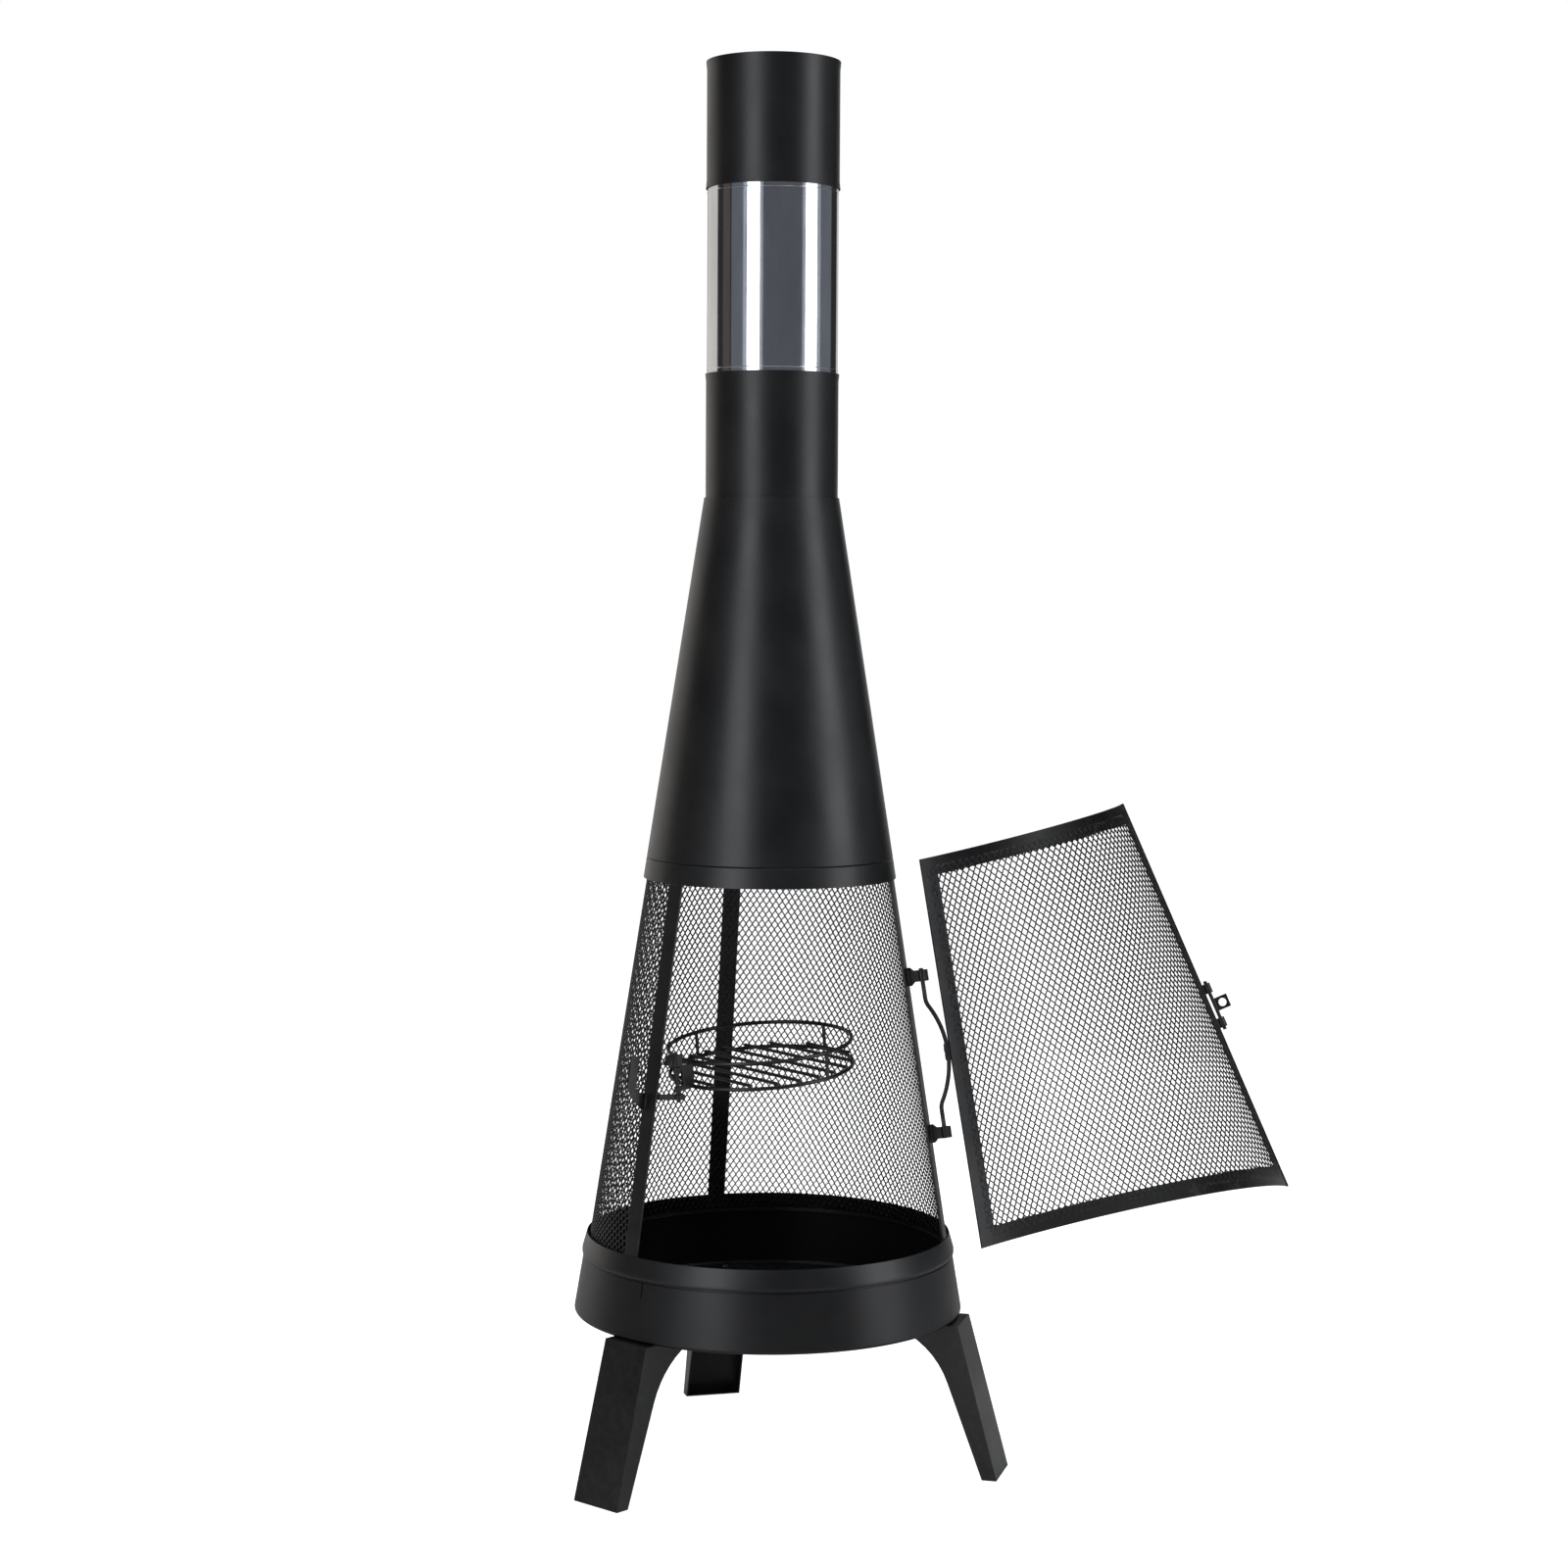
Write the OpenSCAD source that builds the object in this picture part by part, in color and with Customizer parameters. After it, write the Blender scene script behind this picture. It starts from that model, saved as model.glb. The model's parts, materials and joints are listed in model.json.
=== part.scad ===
// Steel chiminea: a fire bowl on three splayed legs, a conical mesh fire box with a
// curved mesh door, a swing-out cooking grate, a conical hood and a three-piece flue.
// Millimetres, +Z up, origin on the ground under the centre line. The front is -Y.
// An azimuth is 0 at the front and grows towards +X.

/* [Tapered body] */
// Outer radius of the fire bowl at its base
base_r = 224; // [190:1:260]
// Outer radius of the hood at its neck
neck_r = 77; // [65:1:95]
// Height of the fire bowl
bowl_h = 71; // [50:1:100]
// Radius of the bowl's rounded bottom edge
bowl_round = 4; // [3:0.5:8]
// Height of the band under the mesh
low_ring_h = 20; // [14:1:30]
// Height of the mesh between the two bands
mesh_h = 411; // [320:1:480]
// Height of the band over the mesh
top_ring_h = 23; // [18:1:34]
// Height of the hood
hood_h = 411; // [320:1:500]
// Sheet thickness of the bowl and the bands
band_t = 1.5; // [1.2:0.1:2.0]
// Sheet thickness of the hood
hood_t = 1.2; // [0.8:0.1:1.5]
// Slack between sheets that slide into each other
slip_gap = 0.1; // [0.05:0.05:0.2]
// Depth of the lip that seats the hood on the top band
spigot_h = 18; // [10:1:30]
// Width of the ledge turned in at the top of the bowl
ledge_w = 9; // [6:1:14]
// How far the low band stands out over the bowl
band_proud = 2.2; // [1.8:0.1:3]

/* [Flue] */
// Outer radius of the painted flue pipes
flue_r = 75.4; // [64:0.1:75.5]
// Wall of every flue pipe
flue_t = 1.0; // [0.8:0.1:1.4]
// Extra radius at the flared pipe ends
flare = 0.9; // [0.4:0.1:1.4]
// Length of one flared end
flare_h = 9; // [5:1:15]
// Visible height of the lower pipe
low_flue_h = 140; // [90:1:220]
// Visible height of the polished pipe
bright_flue_h = 208; // [120:1:280]
// Visible height of the top pipe
top_flue_h = 142; // [90:1:220]
// How far one pipe enters the next
flue_lap = 22; // [12:1:35]
// Width of the seat ring inside the neck of the hood
seat_w = 6; // [4:0.5:9]

/* [Legs] */
// Height of the legs, ground to bowl
leg_h = 174; // [130:1:230]
// Azimuth of each leg: left, right, rear
leg_az = [-42.5, 74.5, 195];
// Radius of the outer face at the foot
foot_r = 279; // [255:1:320]
// How far the top of a leg stands out past the bowl
leg_proud = 8; // [4:1:14]
// Width across the foot
foot_w = 68; // [50:1:90]
// Width across the top of a leg
leg_top_w = 64; // [48:1:80]
// Depth of the foot, front to back
foot_d = 17; // [12:1:26]
// Slope of a leg's back edge
leg_back_lean = 20.8; // [18:0.1:24]
// Radius of the curve from the back edge to the bowl
leg_curve = 100; // [80:1:110]
// Thickness of a leg at the inner end of its top
leg_tip = 4; // [3:0.5:8]
// Sheet thickness of the legs
leg_t = 2; // [1.5:0.5:3]
// Shank diameter of the leg bolts
bolt_d = 6; // [5:1:8]
// Clearance around a bolt shank
bolt_gap = 0.5; // [0.3:0.1:1]
// Distance from the bowl's edge to the outer bolt
bolt_inset = 20; // [18:1:24]
// Distance between the two bolts of a leg
bolt_pitch = 30; // [24:1:32]

/* [Posts and mesh] */
// Azimuth of each post: left, right, rear
post_az = [-47.5, 77.5, 198];
// Width of a post
post_w = 21; // [14:1:28]
// Thickness of a post
post_t = 2.5; // [1.5:0.5:4]
// Thickness of the expanded mesh
mesh_t = 1.2; // [0.8:0.1:1.5]
// How far the fixed mesh laps behind a post at the door opening
mesh_lap = 8; // [4:1:10]

/* [Door] */
// Azimuth of the hinge edge, door shut
door_hinge_az = 74.6; // [70:0.1:76]
// Azimuth of the free edge, door shut
door_free_az = -46.5; // [-48:0.1:-44]
// Gap between the bands and the shut door
door_gap = 4.7; // [3.5:0.1:7]
// Thickness of the door's edge strips
door_t = 2.4; // [1.8:0.1:3.5]
// Width of the door's edge strips
door_strip_w = 21; // [14:1:28]
// How far the door overlaps the mesh opening, below and above
door_lap = 19; // [12:1:20]
// Angle at which the door stands open
door_open = 138; // [60:1:160]

/* [Door hinge] */
// Azimuth of the hinge axis
hinge_az = 80; // [79:0.1:81]
// Distance of the hinge axis from the body's surface
hinge_off = 14.5; // [12:0.5:18]
// Height of the middle of the hinge
hinge_z = 474; // [440:1:500]
// Distance between the middles of the two hinge straps
strap_pitch = 180; // [120:1:240]
// Height of a strap
strap_h = 13; // [9:1:18]
// Thickness of a strap
strap_t = 4; // [3:0.5:5]
// Length of a strap past the axis
strap_end = 7.3; // [5:0.1:9]
// How far the rod stands out of the upper strap
rod_out = 3; // [2:0.5:8]
// Wall around the hinge rod
strap_eye_wall = 1.7; // [1.4:0.1:2.5]
// Diameter of the hinge rod
rod_d = 5; // [4:0.5:7]
// Radial running clearance of every rod in its strap
run_gap = 0.05; // [0.02:0.01:0.08]
// Half the height of the rod's bow
bow_half = 65; // [45:1:75]
// Radius of the small bends that start the bow
bow_bend = 20; // [12:1:30]

/* [Latch] */
// Azimuth of the latch rod, door shut
latch_az = -45.0; // [-45.5:0.1:-43]
// Height of the middle of the latch
latch_z = 454; // [430:1:480]
// Distance of the latch rod from the door's outer face
latch_off = 5; // [4:0.5:8]
// Diameter of the latch rod
latch_d = 4; // [3:0.5:5]
// Distance between the middles of the latch straps
latch_pitch = 40; // [34:1:60]
// Height of a latch strap
latch_strap_h = 11; // [8:1:14]
// Side of the square latch eye
eye_side = 14.5; // [12:0.5:20]
// Diameter of the hole in the latch eye
eye_hole = 9; // [6:0.5:10]
// Thickness of the latch eye
eye_t = 2; // [1.5:0.5:3]
// Azimuth of the hook on the left post
hook_az = -49.6; // [-50:0.1:-49]
// Thickness of the hook
hook_t = 2.5; // [1.5:0.5:4]
// Clear gap between the latched eye and the hook's prong
hook_gap = 1.2; // [0.6:0.1:3]
// Width of the prong
prong_w = 12; // [8:1:16]
// Height of the prong over the middle of the latch
prong_up = 30; // [16:1:40]

/* [Cooking grate] */
// Azimuth of the grate's pivot pin
pin_az = -38; // [-39:0.5:-37]
// Gap from the mesh's inner face to the middle of the pivot pin
pin_gap = 13.05; // [11:0.05:19.1]
// Height of the lower wire ring at the pin
grate_z = 447.5; // [420:0.5:470]
// Radius of the wire rings
grate_r = 105; // [85:1:108]
// Gap from the pin to the rings
grate_reach = 27; // [20:1:30]
// Direction from the pin to the middle of the grate
grate_heading = 45.2; // [40:0.1:50]
// Rise of the grate away from its pin
grate_tilt = 5.6; // [0:0.1:8]
// Wire diameter of the rings
ring_d = 4.5; // [3.5:0.5:6]
// Wire diameter of the bars and uprights
bar_d = 4; // [3:0.5:5]
// Distance between the two rings
ring_gap = 29; // [24:1:34]
// Distance between neighbouring bars
bar_pitch = 24.5; // [18:0.5:25]
// Direction of the bars, from the line through the pin
bar_turn = -97; // [-110:1:-80]
// Diameter of the pivot pin
pin_d = 5; // [4:0.5:6]
// Height of the upper strap on the post
grate_strap_h = 12; // [8:1:16]
// Height of the lower strap on the post
low_strap_h = 6; // [5:1:10]
// Gap from the lower strap up to the lower ring
low_strap_gap = 3; // [2.5:0.5:6]

/* [Hidden] */
$fn = 96;

black = [0.10, 0.10, 0.11];
dark = [0.14, 0.14, 0.15];
bright = [0.72, 0.74, 0.78];

// Levels, from the ground up
bowl_top = leg_h + bowl_h;
mesh_z0 = bowl_top + low_ring_h;
mesh_z1 = mesh_z0 + mesh_h;
hood_z0 = mesh_z1 + top_ring_h;
neck_z = hood_z0 + hood_h;
low_flue_top = neck_z + low_flue_h;
bright_top = low_flue_top + bright_flue_h;
total_h = bright_top + top_flue_h;

// One straight taper from the bowl to the neck
taper = (base_r - neck_r) / (neck_z - leg_h);
lean = atan(taper);
function wall_r(z) = base_r - taper * (z - leg_h);

// Radial places of the layers, measured in from the tapered surface
post_out = band_t;
mesh_out = post_out + post_t;
mesh_mid_z = (mesh_z0 + mesh_z1) / 2;
post_z0 = bowl_top + 2 * band_t;
post_z1 = hood_z0 - 5;
door_z0 = mesh_z0 - door_lap;
door_z1 = mesh_z1 + door_lap;
door_edge = 5;
door_in = door_gap;
door_out = door_gap + door_t;
bright_r = flue_r - flue_t - slip_gap;

// ---------- frames and shared shapes ----------

// Puts +X on the given azimuth
module at_azimuth(az) {
    rotate([0, 0, az - 90]) children();
}

// Local X out of the tapered wall, Y towards growing azimuth, Z up along the wall
module on_wall(az, z, off = 0) {
    at_azimuth(az) translate([wall_r(z), 0, z]) rotate([0, -lean, 0]) translate([off, 0, 0]) children();
}

// Point off the wall, off measured square to it
function wall_point(az, z, off) =
    let (r = wall_r(z) + off * cos(lean))
    [r * sin(az), -r * cos(az), z + off * sin(lean)];
function wall_up(az) = [-sin(az) * sin(lean), cos(az) * sin(lean), cos(lean)];

// Section of a tapered shell between two radial offsets
module taper_section(z0, z1, out, in) {
    polygon([
        [wall_r(z0) + in, z0], [wall_r(z0) + out, z0],
        [wall_r(z1) + out, z1], [wall_r(z1) + in, z1]
    ]);
}

module taper_shell(z0, z1, out, in) {
    rotate_extrude() taper_section(z0, z1, out, in);
}

// The part of a shell between two azimuths
module taper_sector(az0, az1, z0, z1, out, in) {
    rotate([0, 0, az0 - 90]) rotate_extrude(angle = az1 - az0) taper_section(z0, z1, out, in);
}

// A slab that runs along the wall at one azimuth, from y0 to y1 sideways
module wall_slab(az, y0, y1) {
    reach = 40;
    on_wall(az, mesh_mid_z) translate([-reach, y0, -mesh_h]) cube([2 * reach, y1 - y0, 2 * mesh_h]);
}

// Flat strap in XY with a bore on the Z axis, root at x0, end at x1
module bored_strap(x0, x1, thick, high, bore_r, eye_wall) {
    difference() {
        union() {
            translate([x0, -thick / 2, -high / 2]) cube([x1 - x0, thick, high]);
            cylinder(r = bore_r + eye_wall, h = high, center = true);
        }
        cylinder(r = bore_r, h = high + 2, center = true);
    }
}

// Round rod along Z, its middle bowed towards +X. Each stretch is a hair thinner than the
// one before and starts inside it, so that no two skins coincide.
module bowed_rod(bar, half, bow, bend, low_end, high_end) {
    turn = 2 * atan(bow / half);
    main = half / sin(turn) - bend;
    thinner = 0.02;
    bend_lap = 0.5 / bend * 180 / PI;
    main_lap = 0.5 / main * 180 / PI;
    translate([0, 0, low_end]) cylinder(d = bar, h = -half - low_end, $fn = 32);
    translate([0, 0, half]) cylinder(d = bar, h = high_end - half, $fn = 32);
    for (side = [0, 1])
        mirror([0, 0, side]) translate([bend, 0, -half]) rotate([90, 0, 0])
            rotate([0, 0, 180 - turn]) rotate_extrude(angle = turn + bend_lap)
                translate([bend, 0, 0]) circle(d = bar - thinner, $fn = 32);
    translate([bow - main, 0, 0]) rotate([90, 0, 0]) rotate([0, 0, -turn - main_lap])
        rotate_extrude(angle = 2 * (turn + main_lap))
            translate([main, 0, 0]) circle(d = bar - 2 * thinner, $fn = 32);
}

// ---------- legs ----------

// Side outline of a leg, X from the centre line: straight outer face, straight back edge,
// then a curve up to the bowl. The hollow is drawn inset at the front and over at the back.
module leg_side(inset, back) {
    top_r = base_r + leg_proud;
    face_shift = inset / cos(atan((foot_r - top_r) / leg_h));
    run = (leg_h - leg_curve + leg_curve * sin(leg_back_lean)) / cos(leg_back_lean);
    mid_r = foot_r - foot_d - run * sin(leg_back_lean) - leg_curve * cos(leg_back_lean);
    mid_z = leg_h - leg_curve;
    r = leg_curve - back;
    last = asin((leg_curve - leg_tip - inset) / r);
    steps = 8;
    polygon(concat(
        [[top_r - face_shift, leg_h - inset], [foot_r - face_shift, 0]],
        [[foot_r - foot_d - back / cos(leg_back_lean), 0]],
        [for (i = [0 : steps]) let (a = leg_back_lean + (last - leg_back_lean) * i / steps)
            [mid_r + r * cos(a), mid_z + r * sin(a)]],
        [[mid_r + r * cos(last), leg_h - inset]]
    ));
}

module leg_solid(inset, back) {
    over = 1;
    intersection() {
        translate([0, 0, leg_h / 2 + inset]) cube([4 * foot_r, 4 * foot_w, leg_h], center = true);
        rotate([90, 0, 0]) linear_extrude(foot_w + 2 * over, center = true) leg_side(inset, back);
        rotate([90, 0, 90]) linear_extrude(foot_r + foot_w)
            polygon([
                [-foot_w / 2 + inset, -over], [foot_w / 2 - inset, -over],
                [leg_top_w / 2 - inset, leg_h + over], [-leg_top_w / 2 + inset, leg_h + over]
            ]);
    }
}

module leg_bolt_places() {
    for (az = leg_az)
        for (i = [0, 1])
            at_azimuth(az) translate([base_r - bolt_inset - i * bolt_pitch, 0, leg_h]) children();
}

// Folded sheet, open at the back, with a top plate under the bowl and a foot plate
module leg(i) {
    color(black) difference() {
        at_azimuth(leg_az[i]) difference() {
            leg_solid(0, 0);
            leg_solid(leg_t, 2 * leg_t);
        }
        leg_bolt_places() cylinder(d = bolt_d + 2 * bolt_gap, h = 4 * leg_t, center = true, $fn = 32);
    }
}

module leg_left() { leg(0); }
module leg_right() { leg(1); }
module leg_rear() { leg(2); }

// Domed heads on the bowl's floor, shanks down through the legs' top plates
module leg_bolts() {
    color(dark) leg_bolt_places() {
        translate([0, 0, band_t]) cylinder(r1 = bolt_d, r2 = 0.7 * bolt_d, h = 0.6 * bolt_d, $fn = 32);
        translate([0, 0, -leg_t - bolt_d])
            cylinder(d = bolt_d, h = band_t + leg_t + bolt_d, $fn = 32);
    }
}

module leg_nuts() {
    nut_h = 0.8 * bolt_d;
    color(dark) leg_bolt_places() translate([0, 0, -leg_t - nut_h]) difference() {
        cylinder(r = 0.95 * bolt_d, h = nut_h, $fn = 6);
        translate([0, 0, -1]) cylinder(r = bolt_d / 2 + run_gap, h = nut_h + 2, $fn = 32);
    }
}

// ---------- bowl, bands, posts and fixed mesh ----------

// The bowl is a flat floor, welded inside the rounded foot of a rolled wall
floor_r = base_r - bowl_round;

module bowl_floor() {
    color(black) difference() {
        translate([0, 0, leg_h]) cylinder(r = floor_r, h = band_t);
        leg_bolt_places() cylinder(d = bolt_d + 2 * bolt_gap, h = 4 * band_t, center = true, $fn = 32);
    }
}

module bowl_wall() {
    corner = [for (i = [0 : 4]) let (a = 90 * i / 4)
        [floor_r + bowl_round * sin(a), leg_h + bowl_round * (1 - cos(a))]];
    color(black) rotate_extrude() polygon(concat(
        corner,
        [
            [wall_r(bowl_top), bowl_top], [wall_r(bowl_top) - ledge_w, bowl_top],
            [wall_r(bowl_top) - ledge_w, bowl_top - band_t],
            [wall_r(bowl_top - band_t) - band_t, bowl_top - band_t],
            [wall_r(leg_h + bowl_round) - band_t, leg_h + bowl_round], [floor_r, leg_h + band_t]
        ]
    ));
}

// The low band hangs over the top of the bowl and rests on its ledge
module low_ring() {
    skirt = 2.4 * band_t;
    edge = 1;
    foot = wall_r(bowl_top) + band_proud;
    top = wall_r(mesh_z0);
    lip_r = wall_r(bowl_top) - ledge_w + 2 * edge;
    color(black) rotate_extrude() polygon([
        [foot - edge, bowl_top - skirt], [foot, bowl_top - skirt + edge], [foot, bowl_top + band_t],
        [top, mesh_z0], [top - band_t, mesh_z0],
        [wall_r(bowl_top + band_t) - band_t, bowl_top + band_t],
        [lip_r, bowl_top + band_t], [lip_r, bowl_top],
        [wall_r(bowl_top) + slip_gap, bowl_top],
        [wall_r(bowl_top - skirt) + slip_gap, bowl_top - skirt]
    ]);
}

// The top band, with the spigot that the hood slips over
module top_ring() {
    groove = 1.0;
    lip_out = hood_t + slip_gap;
    joggle = 2 * groove;
    color(black) rotate_extrude() polygon([
        [wall_r(mesh_z1), mesh_z1], [wall_r(hood_z0 - groove), hood_z0 - groove],
        [wall_r(hood_z0) - groove, hood_z0], [wall_r(hood_z0) - lip_out, hood_z0],
        [wall_r(hood_z0 + spigot_h) - lip_out, hood_z0 + spigot_h],
        [wall_r(hood_z0 + spigot_h) - lip_out - hood_t, hood_z0 + spigot_h],
        [wall_r(hood_z0) - lip_out - hood_t, hood_z0 - joggle],
        [wall_r(hood_z0 - 2 * joggle) - band_t, hood_z0 - 2 * joggle],
        [wall_r(mesh_z1) - band_t, mesh_z1]
    ]);
}

module post(i) {
    color(black) intersection() {
        taper_shell(post_z0, post_z1, -post_out, -post_out - post_t);
        wall_slab(post_az[i], -post_w / 2, post_w / 2);
    }
}

module post_left() { post(0); }
module post_right() { post(1); }
module post_rear() { post(2); }

// Fixed mesh: from the right post round the back to the left post
module body_mesh() {
    half_lap = (post_w / 2 - mesh_lap) / wall_r(mesh_mid_z) * 180 / PI;
    color(dark) taper_sector(
        post_az[1] + half_lap, 360 + post_az[0] - half_lap,
        post_z0, post_z1, -mesh_out, -mesh_out - mesh_t
    );
}

// ---------- hood and flue ----------

module hood() {
    groove = 0.6;
    color(black) rotate_extrude() polygon([
        [wall_r(hood_z0) - hood_t, hood_z0], [wall_r(hood_z0) - groove, hood_z0],
        [wall_r(hood_z0 + groove), hood_z0 + groove], [wall_r(neck_z), neck_z],
        [wall_r(neck_z) - hood_t, neck_z]
    ]);
}

// Ring inside the neck that carries the flue
module flue_seat() {
    seat_top = neck_z - flue_lap;
    color(dark) rotate_extrude() polygon([
        [flue_r - seat_w, seat_top - hood_t], [wall_r(seat_top - hood_t) - hood_t, seat_top - hood_t],
        [wall_r(seat_top) - hood_t, seat_top], [flue_r - seat_w, seat_top]
    ]);
}

module low_flue() {
    z0 = neck_z - flue_lap;
    z1 = low_flue_top;
    in = flue_r - flue_t;
    color(black) rotate_extrude() polygon([
        [in, z0], [flue_r, z0], [flue_r, z1 - flare_h], [flue_r + flare, z1], [in + flare, z1],
        [in, z1 - flare_h]
    ]);
}

module bright_flue() {
    z0 = low_flue_top - flue_lap;
    color(bright) difference() {
        translate([0, 0, z0]) cylinder(r = bright_r, h = bright_flue_h + 2 * flue_lap);
        translate([0, 0, z0 - 1]) cylinder(r = bright_r - flue_t, h = bright_flue_h + 2 * flue_lap + 2);
    }
}

module top_flue() {
    z0 = bright_top;
    z1 = total_h;
    in = flue_r - flue_t;
    color(black) rotate_extrude() polygon([
        [in + flare, z0], [flue_r + flare, z0], [flue_r, z0 + flare_h], [flue_r, z1 - flare_h],
        [flue_r + flare, z1], [in + flare, z1], [in, z1 - flare_h], [in, z0 + flare_h]
    ]);
}

// ---------- door hinge, hook and grate straps on the body ----------

// The strap's foot flares up and down where it is welded to the post
module hinge_strap(z) {
    weld = 0.1;
    root = -band_t - hinge_off;
    foot = 3.5;
    flare_up = 4;
    tall = strap_h / 2 + flare_up;
    color(black) on_wall(hinge_az, z, hinge_off) union() {
        bored_strap(root + weld, strap_end, strap_t, strap_h, rod_d / 2 + run_gap, strap_eye_wall);
        translate([0, strap_t / 2, 0]) rotate([90, 0, 0]) linear_extrude(strap_t)
            polygon([
                [root + weld, -tall], [root + foot, -tall],
                [root + foot + flare_up, -strap_h / 2], [root + foot + flare_up, strap_h / 2],
                [root + foot, tall], [root + weld, tall]
            ]);
    }
}

module hinge_strap_upper() { hinge_strap(hinge_z + strap_pitch / 2); }
module hinge_strap_lower() { hinge_strap(hinge_z - strap_pitch / 2); }

// J-shaped plate on the left post; the latch eye turns in behind its prong
module latch_hook() {
    prong_in = door_out + latch_off + eye_t / 2 + hook_gap;
    slope = 2.5;
    low = -eye_side / 2 - slope - hook_gap;
    root_h = 18;
    color(black) on_wall(hook_az, latch_z) rotate([90, 0, 0])
        linear_extrude(hook_t, center = true)
            polygon([
                [-band_t, low - root_h], [slope, low - root_h], [prong_in, low - root_h / 2],
                [prong_in + prong_w, low + 2 * slope], [prong_in + prong_w, prong_up],
                [prong_in, prong_up], [prong_in, low + slope], [slope, low], [-band_t, low]
            ]);
}

// The grate's pin stands a gap inside the mesh
strap_root_r = wall_r(grate_z) - mesh_out;
pin_r = strap_root_r - pin_gap;

// The grate's own frame: Z along the pivot pin, X towards the middle of the grate
module grate_frame() {
    translate([pin_r * sin(pin_az), -pin_r * cos(pin_az), grate_z])
        rotate([0, -grate_tilt, grate_heading]) children();
}

// The straps run from the inner face of the left post to the pin
strap_root_az = post_az[0] + 1.2;
strap_turn = atan2(
    strap_root_r * cos(strap_root_az) - pin_r * cos(pin_az),
    pin_r * sin(pin_az) - strap_root_r * sin(strap_root_az)
) - grate_heading;

module grate_strap(z0, high) {
    strap_run = 45;
    color(black) intersection() {
        grate_frame() translate([0, 0, z0 + high / 2]) rotate([0, 0, strap_turn])
            bored_strap(-strap_run, strap_end, strap_t, high, pin_d / 2 + run_gap, strap_eye_wall);
        rotate_extrude($fn = 360) polygon([
            [0, mesh_z0], [wall_r(mesh_z0) - mesh_out, mesh_z0],
            [wall_r(mesh_z1) - mesh_out, mesh_z1], [0, mesh_z1]
        ]);
    }
}

module grate_strap_upper() { grate_strap(ring_gap + 1, grate_strap_h); }
module grate_strap_lower() { grate_strap(-low_strap_h - low_strap_gap, low_strap_h); }

// ---------- door: drawn shut, then swung open ----------

hinge_point = wall_point(hinge_az, hinge_z, hinge_off);

module door_swing() {
    translate(hinge_point) rotate(a = door_open, v = wall_up(hinge_az)) translate(-hinge_point) children();
}

module door_band(z0, z1) {
    color(black) door_swing()
        taper_sector(door_free_az, door_hinge_az, z0, z1, door_out, door_in);
}

module door_top_strip() { door_band(door_z1 - door_strip_w, door_z1); }
module door_bottom_strip() { door_band(door_z0, door_z0 + door_strip_w); }

module door_side(az, y0, y1) {
    color(black) door_swing() intersection() {
        taper_sector(door_free_az, door_hinge_az, door_z0 + door_strip_w, door_z1 - door_strip_w,
            door_out, door_in);
        wall_slab(az, y0, y1);
    }
}

module door_hinge_strip() { door_side(door_hinge_az, -door_strip_w, door_edge); }
module door_free_strip() { door_side(door_free_az, -door_edge, door_strip_w); }

module door_mesh() {
    mid = (door_in + door_out) / 2;
    color(dark) door_swing() difference() {
        taper_sector(door_free_az, door_hinge_az, door_z0 + door_strip_w, door_z1 - door_strip_w,
            mid + mesh_t / 2, mid - mesh_t / 2);
        wall_slab(door_hinge_az, -door_strip_w, door_edge);
        wall_slab(door_free_az, -door_edge, door_strip_w);
    }
}

// The rod's bow reaches from the hinge axis to the door's edge and is welded there
edge_gap = wall_point(door_hinge_az, hinge_z, (door_in + door_out) / 2 * cos(lean)) - hinge_point;
edge_side = edge_gap * [cos(hinge_az), sin(hinge_az), 0];
edge_out = edge_gap * [sin(hinge_az) * cos(lean), -cos(hinge_az) * cos(lean), sin(lean)];

module hinge_rod() {
    reach = norm([edge_side, edge_out]);
    color(black) door_swing() on_wall(hinge_az, hinge_z, hinge_off)
        rotate([0, 0, atan2(edge_side, edge_out)])
            bowed_rod(rod_d, bow_half, reach - rod_d / 2, bow_bend,
                -strap_pitch / 2 - strap_h / 2 + 1, strap_pitch / 2 + strap_h / 2 + rod_out);
}

module latch_place() {
    door_swing() on_wall(latch_az, latch_z, door_out * cos(lean) + latch_off) children();
}

module latch_strap(z) {
    weld = 0.1;
    thick = 3;
    eye_wall = 1.3;
    color(black) latch_place() translate([0, 0, z])
        bored_strap(weld - latch_off, latch_d, thick, latch_strap_h, latch_d / 2 + run_gap, eye_wall);
}

module latch_strap_upper() { latch_strap(latch_pitch / 2); }
module latch_strap_lower() { latch_strap(-latch_pitch / 2); }

module latch_rod() {
    end = latch_pitch / 2 + latch_strap_h / 2 + rod_out;
    color(black) latch_place() cylinder(d = latch_d, h = 2 * end, center = true, $fn = 32);
}

module latch_eye() {
    start = latch_d / 2 - 0.1;
    color(dark) latch_place() rotate([90, 0, 0]) linear_extrude(eye_t, center = true) difference() {
        translate([start, -eye_side / 2]) square([eye_side, eye_side]);
        translate([start + eye_side / 2, 0]) circle(d = eye_hole, $fn = 32);
    }
}

// ---------- cooking grate ----------

arm = grate_r + grate_reach;

module grate_pin() {
    below = low_strap_gap + low_strap_h + rod_out;
    above = ring_gap + 1 + grate_strap_h + rod_out;
    color(dark) grate_frame() translate([0, 0, -below]) cylinder(d = pin_d, h = below + above, $fn = 32);
}

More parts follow.
